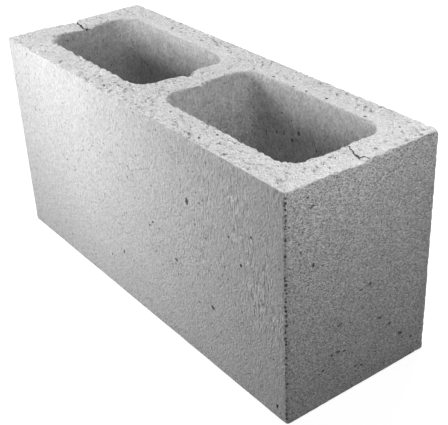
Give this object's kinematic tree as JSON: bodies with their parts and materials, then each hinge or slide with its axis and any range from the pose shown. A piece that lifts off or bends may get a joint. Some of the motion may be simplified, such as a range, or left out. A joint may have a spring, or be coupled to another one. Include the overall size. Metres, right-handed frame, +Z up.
{
  "type": "hollow concrete block",
  "caption": "Hollow rectangular concrete masonry block with rounded through cells, plain flush ends and eased edges, laid in mortar to build walls.",
  "frame": {"origin": "centre of the bottom bed face, midway along the length and the width", "axes": "+X along the length, +Y across the width, +Z up, the way the block is cast and laid"},
  "size_m": [0.39, 0.14, 0.19],
  "materials": {
    "concrete": "bare dry-cast concrete, matt and granular"
  },
  "bodies": {
    "root": {"concrete_block": "concrete"}
  },
  "joints": []
}
